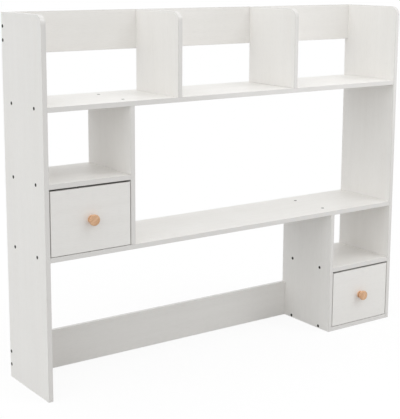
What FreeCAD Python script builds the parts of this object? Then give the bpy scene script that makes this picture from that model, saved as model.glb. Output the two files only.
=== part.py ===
import FreeCAD, Part
import math
import os
import Sketcher
from FreeCAD import Placement, Rotation, Vector

# A hutch of flat white boards that stands free on a desk top: two tall sides, a top shelf with three open
# bays, a main shelf across the full width, an open niche over a drawer under the top shelf on the left and
# another under the main shelf on the right, and two stiffening rails along the rear.
#
# Frame: millimetres, +Z up, the front looks along -Y, X = 0 and Y = 0 in the middle of the hutch in plan,
# and Z = 0 on the surface that it stands on.

doc = FreeCAD.newDocument("hutch")

# ---------------------------------------------------------------------------------------------------------
# Driving sizes
# ---------------------------------------------------------------------------------------------------------

SIZES = [
    # carcass
    ("overall_width", 1400, "outer face to outer face of the side panels"),
    ("overall_height", 1140, "base to the top edge of the side panels"),
    ("carcass_depth", 258, "front edge to rear edge of the side panels"),
    ("board_thickness", 15, "every carcass board and drawer front"),
    ("corner_radius", 28, "round front top corner of the side panels and dividers"),
    ("top_shelf_height", 880, "base to the upper face of the top shelf"),
    ("main_shelf_height", 440, "base to the upper face of the main shelf"),
    ("top_rail_height", 125, "rail behind the three top bays"),
    ("low_rail_height", 127, "rail along the base"),
    ("left_bay_width", 275, "clear width of the left niche and drawer bay"),
    ("right_bay_width", 265, "clear width of the right niche and drawer bay"),
    ("drawer_bay_height", 202, "clear height of both drawer bays"),
    ("back_thickness", 3, "hardboard behind the drawer bays"),
    # drawers
    ("front_side_gap", 3, "between a drawer front and each side of its bay"),
    ("front_top_gap", 5.5, "between a drawer front and the shelf over it"),
    ("drawer_board", 12, "sides and back of the drawer boxes"),
    ("drawer_bottom_thickness", 3, "hardboard bottom of the drawer boxes"),
    ("box_top_drop", 8, "drawer box sides end this far below the top of the front"),
    ("drawer_rear_gap", 18, "between a drawer box and the rear edge of the carcass"),
    ("groove_height", 10, "lower edge of the drawer boards to the bottom's groove"),
    ("groove_depth", 6, "groove that holds the drawer bottom"),
    ("groove_clearance", 0.2, "how much wider and deeper the groove is than the bottom"),
    ("glide_thickness", 1.5, "plastic strip under each drawer side"),
    ("glide_width", 10, "plastic strip under each drawer side"),
    ("glide_setback", 5, "strip's ends to the ends of the drawer side"),
    ("running_clearance", 0.3, "between the strips and the board they run on"),
    ("stop_width", 60, "plastic block that limits the drawer's travel"),
    ("stop_depth", 15, "the same block from front to rear"),
    ("stop_overlap", 8, "how far the block reaches down past the top of the drawer back"),
    ("stop_clearance", 0.5, "between the closed drawer front and the block"),
    # knobs
    ("knob_diameter", 34, "turned knob's head"),
    ("knob_projection", 23, "drawer front to the knob's face"),
    ("knob_head_depth", 9, "rim of the head from front to rear"),
    ("knob_face_radius", 3, "round front edge of the head"),
    ("knob_rim_radius", 2.5, "round rear edge of the head"),
    ("knob_neck_diameter", 16, "neck between the head and the foot"),
    ("knob_neck_radius", 5, "hollow curve between neck and head"),
    ("knob_foot_diameter", 25, "foot that rests on the drawer front"),
    ("knob_foot_height", 4, "the same foot from front to rear"),
    # fasteners
    ("edge_inset", 55, "screws in a deep board, from its front and rear edges"),
    ("connector_length", 50, "connector screw, overall"),
    ("connector_diameter", 6.3, "connector screw's shank"),
    ("connector_head", 10.4, "connector screw's countersunk head"),
    ("connector_socket", 4, "hexagon socket, across the flats"),
    ("connector_socket_depth", 2.5, "hexagon socket"),
    ("box_screw_length", 30, "screw for drawer boxes and stop blocks, overall"),
    ("box_screw_diameter", 3.5, "shank"),
    ("box_screw_head", 7, "countersunk head"),
    ("pin_length", 20, "pin for the hardboard backs, overall"),
    ("pin_diameter", 1.4, "shank"),
    ("pin_head", 3, "countersunk head"),
    ("dowel_length", 28, "wooden dowel between a drawer front and side"),
    ("dowel_diameter", 6, "wooden dowel"),
    ("dowel_in_front", 9.5, "part of the dowel inside the drawer front"),
    ("knob_screw_length", 25, "below its head"),
    ("knob_screw_diameter", 4, "shank"),
    ("knob_screw_head", 8, "flat head inside the drawer"),
    ("knob_screw_head_height", 2.5, "the same head"),
    ("hole_clearance", 0.1, "between a fastener and its hole, all round"),
    ("hole_end_clearance", 1, "empty end of a blind hole"),
]

COUNTERSINK_ANGLE = 90
PIN_STEPS = 3

# Round edges at the knob's foot, as shares of the step from its neck out to its foot.
FOOT_HOLLOW_SHARE = 0.65
FOOT_EDGE_SHARE = 0.25

dims = doc.addObject("Spreadsheet::Sheet", "dims")
for row, (alias, value, meaning) in enumerate(SIZES, start=1):
    dims.set(f"A{row}", alias)
    dims.set(f"B{row}", str(value))
    dims.setAlias(f"B{row}", alias)
    dims.set(f"C{row}", meaning)
doc.recompute()

# ---------------------------------------------------------------------------------------------------------
# Places and sizes that follow from the sheet, as expressions
# ---------------------------------------------------------------------------------------------------------

BOARD = "dims.board_thickness"
DEPTH = "dims.carcass_depth"
LEFT = "-dims.overall_width / 2"
RIGHT = "dims.overall_width / 2"
FRONT = "(dims.knob_projection - dims.carcass_depth - dims.back_thickness) / 2"
REAR = f"({FRONT} + {DEPTH})"
RAIL_FRONT = f"({REAR} - {BOARD})"

INNER_LEFT = f"({LEFT} + {BOARD})"
INNER_RIGHT = f"({RIGHT} - {BOARD})"
INNER_WIDTH = f"(dims.overall_width - 2 * {BOARD})"

TOP_SHELF_TOP = "dims.top_shelf_height"
TOP_SHELF_UNDER = f"({TOP_SHELF_TOP} - {BOARD})"
MAIN_SHELF_TOP = "dims.main_shelf_height"
MAIN_SHELF_UNDER = f"({MAIN_SHELF_TOP} - {BOARD})"

TOP_BAY_WIDTH = f"(({INNER_WIDTH} - 2 * {BOARD}) / 3)"
LEFT_UPRIGHT_LEFT = f"({INNER_LEFT} + dims.left_bay_width)"
LEG_LEFT = f"({INNER_RIGHT} - dims.right_bay_width - {BOARD})"


def middle(low, size):
    """The middle of a length that starts at `low`."""
    return f"({low} + {size} / 2)"


# ---------------------------------------------------------------------------------------------------------
# Sketches and features
# ---------------------------------------------------------------------------------------------------------

# The origin plane square to each axis, the way its normal points, and the axes along its sides.
PLANES = {"x": "YZ_Plane", "y": "XZ_Plane", "z": "XY_Plane"}
NORMALS = {"x": 1, "y": -1, "z": 1}
ACROSS = {"x": "yz", "y": "xz", "z": "xy"}

# A sketch's own origin, as (geometry, point), and its two axes.
ORIGIN = (-1, 1)
SKETCH_AXES = {"across": -1, "up": -2}

# How a piece modelled along +Z turns to point each way along each axis.
AIM = {
    ("x", 1): Rotation(Vector(0, 1, 0), 90),
    ("x", -1): Rotation(Vector(0, 1, 0), -90),
    ("y", 1): Rotation(Vector(1, 0, 0), -90),
    ("y", -1): Rotation(Vector(1, 0, 0), 90),
    ("z", 1): Rotation(),
    ("z", -1): Rotation(Vector(1, 0, 0), 180),
}

# A sketch's lines are drawn at about this size, until its dimensions set them.
FIRST_SIZE = 10.0

parts = []
cuts = []


def new_body(label, corner=("0", "0", "0"), rotation=Rotation()):
    """A body whose own origin sits at `corner` in the part's frame."""
    body = doc.addObject("PartDesign::Body", label)
    body.Label = label
    place(body, corner, rotation)
    return body


def place(thing, corner, rotation=Rotation()):
    """Puts an object at three expressions, turned by `rotation`."""
    thing.Placement = Placement(Vector(0, 0, 0), rotation)
    for axis, expression in zip("xyz", corner):
        thing.setExpression(f"Placement.Base.{axis}", expression)


def new_sketch(body, name, axis, offset="0"):
    """A sketch square to one axis of the body, `offset` along that axis from the body's origin."""
    sketch = body.newObject("Sketcher::SketchObject", name)
    plane = next(feature for feature in body.Origin.OriginFeatures if feature.Role == PLANES[axis])
    sketch.AttachmentSupport = [(plane, "")]
    sketch.MapMode = "FlatFace"
    sketch.setExpression("AttachmentOffset.Base.z", f"{NORMALS[axis]} * ({offset})")
    return sketch


def bind(sketch, kind, *rest, start=FIRST_SIZE):
    """Adds a dimension whose value is an expression, given last; `start` is its value until then."""
    *where, expression = rest
    index = sketch.addConstraint(Sketcher.Constraint(kind, *where, start))
    sketch.setExpression(f"Constraints[{index}]", expression)


def draw_rectangle(sketch, wide, high, corner=None):
    """A rectangle from the sketch's origin, or from `corner`, with its sides along the sketch's axes."""
    first = FIRST_SIZE
    points = [Vector(0, 0, 0), Vector(first, 0, 0), Vector(first, first, 0), Vector(0, first, 0)]
    for start, end in zip(points, points[1:] + points[:1]):
        sketch.addGeometry(Part.LineSegment(start, end))
    for line in range(4):
        sketch.addConstraint(Sketcher.Constraint("Coincident", line, 2, (line + 1) % 4, 1))
    for line, kind in enumerate(["Horizontal", "Vertical"] * 2):
        sketch.addConstraint(Sketcher.Constraint(kind, line))
    if corner is None:
        sketch.addConstraint(Sketcher.Constraint("Coincident", 0, 1, *ORIGIN))
    else:
        bind(sketch, "DistanceX", *ORIGIN, 0, 1, corner[0])
        bind(sketch, "DistanceY", *ORIGIN, 0, 1, corner[1])
    bind(sketch, "DistanceX", 0, 1, 0, 2, wide)
    bind(sketch, "DistanceY", 1, 1, 1, 2, high)


def draw_rounded_panel(sketch, wide, high, radius):
    """A rectangle from the sketch's origin whose upper corner nearest the origin is an arc."""
    first_radius = FIRST_SIZE
    first_wide = 6 * first_radius
    first_high = 9 * first_radius
    corners = [Vector(0, 0, 0), Vector(first_wide, 0, 0), Vector(first_wide, first_high, 0),
               Vector(first_radius, first_high, 0)]
    for start, end in zip(corners, corners[1:]):
        sketch.addGeometry(Part.LineSegment(start, end))
    bottom, rear, top, arc, front = range(5)
    straight = first_high - first_radius
    circle = Part.Circle(Vector(first_radius, straight, 0), Vector(0, 0, 1), first_radius)
    sketch.addGeometry(Part.ArcOfCircle(circle, math.pi / 2, math.pi))
    sketch.addGeometry(Part.LineSegment(Vector(0, straight, 0), Vector(0, 0, 0)))
    sketch.addConstraint([
        Sketcher.Constraint("Coincident", bottom, 1, *ORIGIN),
        Sketcher.Constraint("Coincident", bottom, 2, rear, 1),
        Sketcher.Constraint("Coincident", rear, 2, top, 1),
        Sketcher.Constraint("Tangent", top, 2, arc, 1),
        Sketcher.Constraint("Tangent", arc, 2, front, 1),
        Sketcher.Constraint("Coincident", front, 2, bottom, 1),
        Sketcher.Constraint("Horizontal", bottom),
        Sketcher.Constraint("Vertical", rear),
        Sketcher.Constraint("Horizontal", top),
        Sketcher.Constraint("Vertical", front),
    ])
    bind(sketch, "DistanceX", bottom, 1, bottom, 2, wide, start=first_wide)
    bind(sketch, "DistanceY", rear, 1, rear, 2, high, start=first_high)
    bind(sketch, "Radius", arc, radius, start=first_radius)


def draw_half_section(sketch, points):
    """A closed outline of (radius, height) corners for a turned piece; None is a corner on that axis."""
    guesses = []
    for step, (radius, height) in enumerate(points, start=1):
        first_radius = 0 if radius is None else step * FIRST_SIZE
        first_height = 0 if height is None else step * FIRST_SIZE
        guesses.append(Vector(first_radius, first_height, 0))
    for start, end in zip(guesses, guesses[1:] + guesses[:1]):
        sketch.addGeometry(Part.LineSegment(start, end))
    for line in range(len(points)):
        sketch.addConstraint(Sketcher.Constraint("Coincident", line, 2, (line + 1) % len(points), 1))
    for line, (radius, height) in enumerate(points):
        if radius is None:
            sketch.addConstraint(Sketcher.Constraint("PointOnObject", line, 1, SKETCH_AXES["up"]))
        else:
            bind(sketch, "DistanceX", *ORIGIN, line, 1, radius)
        if height is None:
            sketch.addConstraint(Sketcher.Constraint("PointOnObject", line, 1, SKETCH_AXES["across"]))
        else:
            bind(sketch, "DistanceY", *ORIGIN, line, 1, height)


def extrude(body, name, sketch, axis, length):
    """Pads a sketch towards the positive end of `axis`."""
    pad = body.newObject("PartDesign::Pad", name)
    pad.Profile = sketch
    pad.setExpression("Length", length)
    pad.Reversed = NORMALS[axis] < 0
    return pad


def turn(body, name, points):
    """Turns a half section of (radius, height) corners about the body's Z axis."""
    sketch = new_sketch(body, f"{name}_section", "y")
    draw_half_section(sketch, points)
    revolution = body.newObject("PartDesign::Revolution", name)
    revolution.Profile = sketch
    revolution.ReferenceAxis = (sketch, ["V_Axis"])
    revolution.Angle = 360
    doc.recompute()
    return revolution


def cut_pocket(body, name, sketch, depth, towards):
    """Pockets a sketch; `towards` is 1 to cut along the sketch's normal and -1 to cut against it."""
    before = body.Shape.Volume
    pocket = body.newObject("PartDesign::Pocket", name)
    pocket.Profile = sketch
    pocket.setExpression("Length", depth)
    pocket.Reversed = towards > 0
    doc.recompute()
    cuts.append((name, before - body.Shape.Volume))


def drill(body, name, axis, offset, centres, towards, diameter, depth, sink=None):
    """Drills flat-ended holes along `axis`, all from one plane; `towards` is 1 or -1 along that axis."""
    before = body.Shape.Volume
    sketch = new_sketch(body, f"{name}_centres", axis, offset)
    for circle, (across, up) in enumerate(centres):
        first_centre = Vector(FIRST_SIZE + circle, FIRST_SIZE, 0)
        sketch.addGeometry(Part.Circle(first_centre, Vector(0, 0, 1), FIRST_SIZE))
        bind(sketch, "DistanceX", *ORIGIN, circle, 3, across)
        bind(sketch, "DistanceY", *ORIGIN, circle, 3, up)
        bind(sketch, "Diameter", circle, diameter)
    hole = body.newObject("PartDesign::Hole", name)
    hole.Profile = sketch
    doc.recompute()
    hole.Threaded = False
    hole.ThreadType = "None"
    hole.DepthType = "Dimension"
    hole.DrillPoint = "Flat"
    hole.Reversed = towards * NORMALS[axis] > 0
    hole.setExpression("Diameter", diameter)
    hole.setExpression("Depth", depth)
    if sink is not None:
        hole.HoleCutType = "Countersink"
        hole.HoleCutCountersinkAngle = COUNTERSINK_ANGLE
        hole.setExpression("HoleCutDiameter", sink)
    doc.recompute()
    cuts.append((name, before - body.Shape.Volume))


# ---------------------------------------------------------------------------------------------------------
# Boards
# ---------------------------------------------------------------------------------------------------------


class Board:
    """A flat board along the part's axes, with the holes that its joints ask of it."""

    def __init__(self, label, thin, corner, size, radius=None):
        self.label = label
        self.corner = dict(zip("xyz", corner))
        self.size = dict(zip("xyz", size))
        self.holes = {}
        self.body = new_body(label, corner)
        across, up = (self.size[axis] for axis in ACROSS[thin])
        sketch = new_sketch(self.body, f"{label}_outline", thin)
        if radius is None:
            draw_rectangle(sketch, across, up)
        else:
            draw_rounded_panel(sketch, across, up, radius)
        extrude(self.body, f"{label}_board", sketch, thin, self.size[thin])
        parts.append(self.body)

    def local(self, axis, place_in_part):
        """A place in the part's frame, counted from this board's own corner."""
        return f"({place_in_part}) - ({self.corner[axis]})"

    def ask_hole(self, axis, towards, point, diameter, depth, sink=None):
        """Notes a hole that starts on the face where something moving `towards` enters the board."""
        centre = tuple(self.local(a, point[a]) for a in ACROSS[axis])
        self.holes.setdefault((axis, towards, diameter, depth, sink), []).append(centre)

    def drill_holes(self):
        """Drills what was asked for: one feature for each face and size of hole."""
        for number, (key, centres) in enumerate(self.holes.items(), start=1):
            axis, towards, diameter, depth, sink = key
            offset = "0" if towards > 0 else self.size[axis]
            name = f"{self.label}_holes_{number}"
            drill(self.body, name, axis, offset, centres, towards, diameter, depth, sink)


def upright(label, left, floor, height, depth=DEPTH, radius=None):
    """A board that stands from front to rear."""
    return Board(label, "x", (left, FRONT, floor), (BOARD, depth, height), radius)


def shelf(label, left, under, width):
    """A board that lies flat over the full depth."""
    return Board(label, "z", (left, FRONT, under), (width, DEPTH, BOARD))


def rail(label, left, floor, width, height):
    """A board that stands along the rear edge."""
    return Board(label, "y", (left, RAIL_FRONT, floor), (width, BOARD, height))


left_side = upright("left_side_panel", LEFT, "0", "dims.overall_height", radius="dims.corner_radius")
right_side = upright("right_side_panel", INNER_RIGHT, "0", "dims.overall_height", radius="dims.corner_radius")
top_shelf = shelf("top_shelf", INNER_LEFT, TOP_SHELF_UNDER, INNER_WIDTH)
main_shelf = shelf("main_shelf", INNER_LEFT, MAIN_SHELF_UNDER, INNER_WIDTH)

TOP_RAIL_FLOOR = "(dims.overall_height - dims.top_rail_height)"
LOW_RAIL_WIDTH = f"({LEG_LEFT} - {INNER_LEFT})"
top_rail = rail("top_back_rail", INNER_LEFT, TOP_RAIL_FLOOR, INNER_WIDTH, "dims.top_rail_height")
low_rail = rail("low_back_rail", INNER_LEFT, "0", LOW_RAIL_WIDTH, "dims.low_rail_height")

DIVIDER_HEIGHT = f"(dims.overall_height - {TOP_SHELF_TOP})"
DIVIDER_DEPTH = f"({DEPTH} - {BOARD})"
dividers = []
for number, side in enumerate(["left", "right"], start=1):
    divider_left = f"({INNER_LEFT} + {number} * {TOP_BAY_WIDTH} + {number - 1} * {BOARD})"
    divider = upright(f"{side}_top_divider", divider_left, TOP_SHELF_TOP, DIVIDER_HEIGHT, DIVIDER_DEPTH,
                      "dims.corner_radius")
    dividers.append(divider)

left_upright = upright("left_niche_upright", LEFT_UPRIGHT_LEFT, MAIN_SHELF_TOP,
                       f"({TOP_SHELF_UNDER} - {MAIN_SHELF_TOP})")
leg = upright("right_leg_upright", LEG_LEFT, "0", MAIN_SHELF_UNDER)

LEFT_NICHE_UNDER = f"({MAIN_SHELF_TOP} + dims.drawer_bay_height)"
RIGHT_NICHE_UNDER = f"({BOARD} + dims.drawer_bay_height)"
RIGHT_BAY_LEFT = f"({LEG_LEFT} + {BOARD})"
left_niche_shelf = shelf("left_niche_shelf", INNER_LEFT, LEFT_NICHE_UNDER, "dims.left_bay_width")
right_niche_shelf = shelf("right_niche_shelf", RIGHT_BAY_LEFT, RIGHT_NICHE_UNDER, "dims.right_bay_width")
right_bottom = shelf("right_bottom_panel", RIGHT_BAY_LEFT, "0", "dims.right_bay_width")

# The hardboard backs lap half of each board round their drawer bay.


def bay_back(label, bay_left, bay_width, bay_floor):
    lap = f"({BOARD} / 2)"
    corner = (f"({bay_left} - {lap})", REAR, f"({bay_floor} - {lap})")
    size = (f"({bay_width} + 2 * {lap})", "dims.back_thickness", f"(dims.drawer_bay_height + 2 * {lap})")
    return Board(label, "y", corner, size)


left_back = bay_back("left_bay_back", INNER_LEFT, "dims.left_bay_width", MAIN_SHELF_TOP)
right_back = bay_back("right_bay_back", RIGHT_BAY_LEFT, "dims.right_bay_width", BOARD)

# ---------------------------------------------------------------------------------------------------------
# Fasteners: one master of each kind, linked into groups where it is used
# ---------------------------------------------------------------------------------------------------------


class Fastener:
    """A countersunk screw or pin that points along +Z from its head's face, and the holes it needs."""

    def __init__(self, name, tip_share=0.6):
        length = f"dims.{name}_length"
        shank = f"(dims.{name}_diameter / 2)"
        head = f"(dims.{name}_head / 2)"
        self.length = length
        self.hole = f"(dims.{name}_diameter + 2 * dims.hole_clearance)"
        self.sink = f"(dims.{name}_head + 2 * dims.hole_clearance)"
        self.master = new_body(f"{name}_master")
        turn(self.master, f"{name}_turned", [
            (None, None),
            (head, None),
            (shank, f"({head} - {shank})"),
            (shank, f"({length} - {shank})"),
            (f"({tip_share} * {shank})", length),
            (None, length),
        ])

    def blind(self, entered):
        """Depth of the hole in the second board, past a first board `entered` thick."""
        return f"({self.length} - {entered} + dims.hole_end_clearance)"


def add_hexagon_socket(fastener):
    """Cuts a hexagon socket into a fastener's head."""
    sketch = new_sketch(fastener.master, "socket_outline", "z")
    sides = 6
    turns = [2 * math.pi * side / sides for side in range(sides)]
    corners = [Vector(FIRST_SIZE * math.cos(turn), FIRST_SIZE * math.sin(turn), 0) for turn in turns]
    for start, end in zip(corners, corners[1:] + corners[:1]):
        sketch.addGeometry(Part.LineSegment(start, end))
    guide = sketch.addGeometry(Part.Circle(Vector(0, 0, 0), Vector(0, 0, 1), FIRST_SIZE), True)
    sketch.addConstraint(Sketcher.Constraint("Coincident", guide, 3, *ORIGIN))
    for line in range(sides):
        sketch.addConstraint(Sketcher.Constraint("Coincident", line, 2, (line + 1) % sides, 1))
        sketch.addConstraint(Sketcher.Constraint("PointOnObject", line, 1, guide))
    for line in range(sides - 1):
        sketch.addConstraint(Sketcher.Constraint("Equal", line, line + 1))
    sketch.addConstraint(Sketcher.Constraint("PointOnObject", 0, 1, SKETCH_AXES["across"]))
    bind(sketch, "Radius", guide, "dims.connector_socket / sqrt(3)")
    cut_pocket(fastener.master, "socket", sketch, "dims.connector_socket_depth", 1)


connector = Fastener("connector")
add_hexagon_socket(connector)
box_screw = Fastener("box_screw")
pin = Fastener("pin", tip_share=0.2)

groups = {}


def fasten(group, fastener, outer, inner, axis, towards, points):
    """Fastens `inner` behind `outer` with one fastener at each point, driven `towards` along `axis`."""
    thickness = outer.size[axis]
    for point in points:
        face = outer.corner[axis] if towards > 0 else f"({outer.corner[axis]} + {thickness})"
        head = {**point, axis: face}
        outer.ask_hole(axis, towards, head, fastener.hole, thickness, fastener.sink)
        inner.ask_hole(axis, towards, head, fastener.hole, fastener.blind(thickness))
        groups.setdefault(group, []).append((fastener, axis, towards, head))


def deep_points(other_axis, place_there):
    """Two points in a deep board's edge: one near the front and one near the rear."""
    return [{"y": f"({FRONT} + dims.edge_inset)", other_axis: place_there},
            {"y": f"({REAR} - dims.edge_inset)", other_axis: place_there}]


def rail_points(rail_board):
    """Two points in a rail's end, a third of its height from its lower and upper edges."""
    height = rail_board.size["z"]
    return [{"y": middle(RAIL_FRONT, BOARD), "z": f"({rail_board.corner['z']} + {share} * {height} / 3)"}
            for share in (1, 2)]


def board_middle(board, axis):
    """The middle of a board along one axis."""
    return middle(board.corner[axis], board.size[axis])


def hold_ends(group, side, towards, shelves, rails):
    """Connector screws through a side panel into the ends of its shelves and rails."""
    for board in shelves:
        fasten(group, connector, side, board, "x", towards, deep_points("z", board_middle(board, "z")))
    for board in rails:
        fasten(group, connector, side, board, "x", towards, rail_points(board))


hold_ends("left_side_screws", left_side, 1,
          shelves=(top_shelf, main_shelf, left_niche_shelf), rails=(top_rail, low_rail))
hold_ends("right_side_screws", right_side, -1,
          shelves=(top_shelf, main_shelf, right_niche_shelf, right_bottom), rails=(top_rail,))

# The top shelf holds the left upright from above and the dividers from below.
fasten("top_shelf_screws", connector, top_shelf, left_upright, "z", -1,
       deep_points("x", board_middle(left_upright, "x")))
for divider in dividers:
    fasten("top_shelf_screws", connector, top_shelf, divider, "z", 1,
           deep_points("x", board_middle(divider, "x")))

# The top rail holds the rear edges of the dividers.
for divider in dividers:
    points = [{"x": board_middle(divider, "x"), "z": point["z"]} for point in rail_points(top_rail)]
    fasten("top_rail_screws", connector, top_rail, divider, "y", -1, points)

# The main shelf holds the leg from above and the left upright from below.
fasten("main_shelf_screws", connector, main_shelf, leg, "z", -1, deep_points("x", board_middle(leg, "x")))
fasten("main_shelf_screws", connector, main_shelf, left_upright, "z", 1,
       deep_points("x", board_middle(left_upright, "x")))

# The two inner uprights hold the inner ends of the niche shelves, the bottom panel and the low rail.
fasten("left_upright_screws", connector, left_upright, left_niche_shelf, "x", -1,
       deep_points("z", board_middle(left_niche_shelf, "z")))
for board in (right_niche_shelf, right_bottom):
    fasten("leg_screws", connector, leg, board, "x", 1, deep_points("z", board_middle(board, "z")))
fasten("leg_screws", connector, leg, low_rail, "x", -1, rail_points(low_rail))


def pin_back(group, back, left_board, right_board, lower_board, upper_board):
    """Pins a hardboard back to the edges of the four boards round its bay."""
    inset = f"({BOARD} / 4)"
    low = {axis: f"({back.corner[axis]} + {inset})" for axis in "xz"}
    high = {axis: f"({back.corner[axis]} + {back.size[axis]} - {inset})" for axis in "xz"}
    sides = (("x", "z", (left_board, right_board)), ("z", "x", (lower_board, upper_board)))
    for edge_axis, along_axis, boards in sides:
        for board, edge in zip(boards, (low, high)):
            points = []
            for step in range(1, PIN_STEPS + 1):
                along = f"({back.corner[along_axis]} + {back.size[along_axis]} * {step} / {PIN_STEPS + 1})"
                points.append({edge_axis: edge[edge_axis], along_axis: along})
            fasten(group, pin, back, board, "y", -1, points)


pin_back("left_back_pins", left_back, left_side, left_upright, main_shelf, left_niche_shelf)
pin_back("right_back_pins", right_back, leg, right_side, right_bottom, right_niche_shelf)

# ---------------------------------------------------------------------------------------------------------
# Drawers
# ---------------------------------------------------------------------------------------------------------


def compound(label, members):
    """Several solids of one kind, kept as one sub-part."""
    group = doc.addObject("Part::Compound", label)
    group.Label = label
    group.Links = members
    parts.append(group)


def cut_groove(board, axis, corner, size, towards):
    """A straight groove across one face of a drawer board, cut from that face or from an end."""
    wide, high, depth = size
    offset = "0" if towards > 0 else board.size[axis]
    sketch = new_sketch(board.body, f"{board.label}_groove_outline", axis, offset)
    draw_rectangle(sketch, wide, high, corner)
    cut_pocket(board.body, f"{board.label}_groove", sketch, depth, towards * NORMALS[axis])


def build_knob(side, centre, face, height):
    """A turned wooden knob whose foot sits on the drawer front, and the screw that holds it.

    Returns the diameter of the screw's hole.
    """
    outwards = AIM["y", -1]
    body = new_body(f"{side}_drawer_knob", (centre, face, height), outwards)
    foot = "(dims.knob_foot_diameter / 2)"
    neck = "(dims.knob_neck_diameter / 2)"
    head = "(dims.knob_diameter / 2)"
    head_start = "(dims.knob_projection - dims.knob_head_depth)"
    turn(body, f"{side}_knob_turned", [
        (None, None),
        (foot, None),
        (foot, "dims.knob_foot_height"),
        (neck, "dims.knob_foot_height"),
        (neck, head_start),
        (head, head_start),
        (head, "dims.knob_projection"),
        (None, "dims.knob_projection"),
    ])
    round_knob_edges(body, side)
    hole = "(dims.knob_screw_diameter + 2 * dims.hole_clearance)"
    bore = f"(dims.knob_screw_length - {BOARD} + dims.hole_end_clearance)"
    drill_centre(body, f"{side}_knob_bore", hole, bore)
    parts.append(body)

    screw_start = f"({face} + {BOARD} + dims.knob_screw_head_height)"
    screw = new_body(f"{side}_drawer_knob_screw", (centre, screw_start, height), outwards)
    shank = "(dims.knob_screw_diameter / 2)"
    flat_head = "(dims.knob_screw_head / 2)"
    tip = "(dims.knob_screw_head_height + dims.knob_screw_length)"
    turn(screw, f"{side}_knob_screw_turned", [
        (None, None),
        (flat_head, None),
        (flat_head, "dims.knob_screw_head_height"),
        (shank, "dims.knob_screw_head_height"),
        (shank, tip),
        (None, tip),
    ])
    parts.append(screw)
    return hole


def round_knob_edges(body, side):
    """Rounds the edges of the head and foot, and the hollows where the neck meets them."""
    head_start = dims.knob_projection - dims.knob_head_depth
    foot_end = dims.knob_foot_height
    foot = dims.knob_foot_diameter / 2
    neck = dims.knob_neck_diameter / 2
    head = dims.knob_diameter / 2
    foot_step = "(dims.knob_foot_diameter - dims.knob_neck_diameter) / 2"
    rounds = (
        ("neck", "dims.knob_neck_radius", neck, head_start),
        ("foot_hollow", f"{FOOT_HOLLOW_SHARE} * {foot_step}", neck, foot_end),
        ("foot_edge", f"{FOOT_EDGE_SHARE} * {foot_step}", foot, foot_end),
        ("rim", "dims.knob_rim_radius", head, head_start),
        ("face", "dims.knob_face_radius", head, dims.knob_projection),
    )
    for name, fillet_radius, edge_radius, height in rounds:
        base = body.Tip
        fillet = body.newObject("PartDesign::Fillet", f"{side}_knob_{name}")
        fillet.Base = (base, find_round_edges(base, edge_radius, height))
        fillet.setExpression("Radius", fillet_radius)
        doc.recompute()


def find_round_edges(feature, radius, height):
    """Names of a turned feature's circular edges of one radius, at one height above its foot."""
    tolerance = 0.001
    return [f"Edge{number}" for number, edge in enumerate(feature.Shape.Edges, start=1)
            if isinstance(edge.Curve, Part.Circle)
            and abs(edge.Curve.Radius - radius) < tolerance
            and abs(edge.Curve.Center.z - height) < tolerance]


def drill_centre(body, name, diameter, depth):
    """One hole on a turned piece's own axis, from its foot."""
    before = body.Shape.Volume
    sketch = new_sketch(body, f"{name}_centre", "z")
    sketch.addGeometry(Part.Circle(Vector(0, 0, 0), Vector(0, 0, 1), FIRST_SIZE))
    sketch.addConstraint(Sketcher.Constraint("Coincident", 0, 3, *ORIGIN))
    bind(sketch, "Diameter", 0, diameter)
    pocket = body.newObject("PartDesign::Pocket", name)
    pocket.Profile = sketch
    pocket.setExpression("Length", depth)
    pocket.Reversed = True
    doc.recompute()
    cuts.append((name, before - body.Shape.Volume))


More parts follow.
